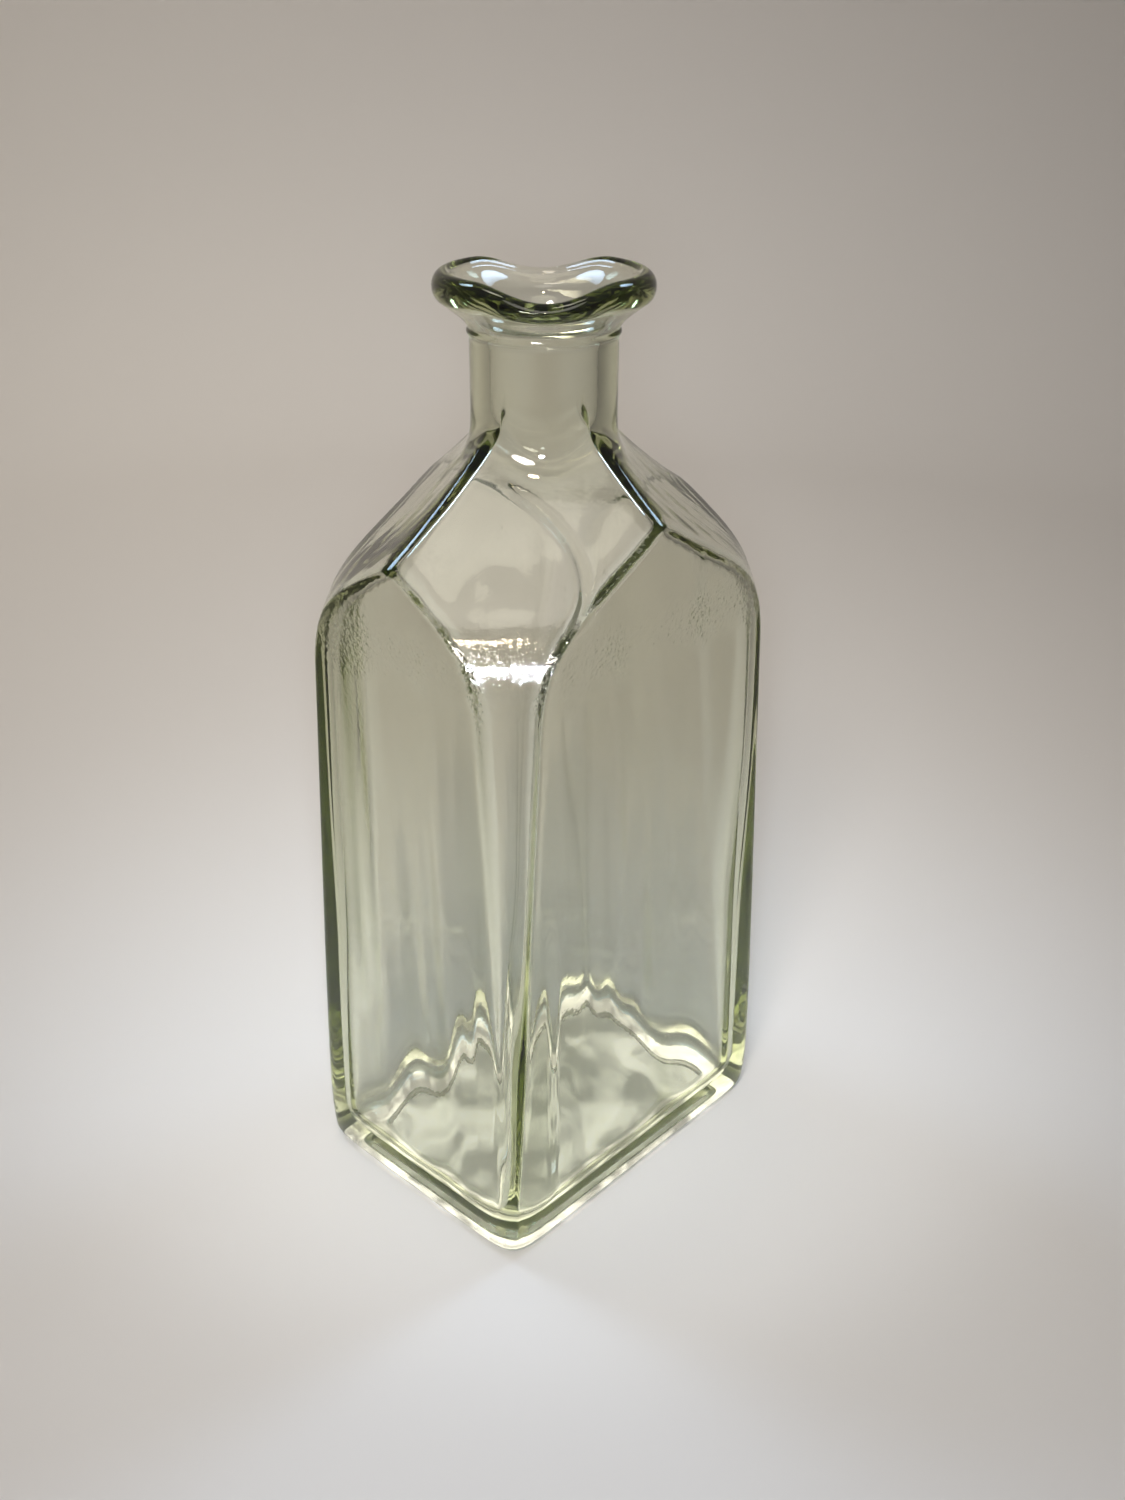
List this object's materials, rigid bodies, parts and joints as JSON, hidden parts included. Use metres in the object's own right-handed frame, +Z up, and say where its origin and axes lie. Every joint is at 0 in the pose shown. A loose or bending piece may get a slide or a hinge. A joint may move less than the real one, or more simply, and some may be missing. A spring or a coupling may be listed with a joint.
{
  "type": "glass bottle",
  "caption": "Glass bottle with a rectangular base, cut-back corners, a short round neck and a thick lip that dips towards two opposite corners for pouring.",
  "frame": {"origin": "middle of the base, on the plane that the bottle rests on", "axes": "+Z up along the neck, X along the wide faces, Y through the wide faces"},
  "size_m": [0.095, 0.0706, 0.2225],
  "materials": {
    "green_glass": "clear, pale green, thick moulded glass with a fire-polished surface"
  },
  "bodies": {
    "root": {"glass_bottle": "green_glass"}
  },
  "joints": []
}
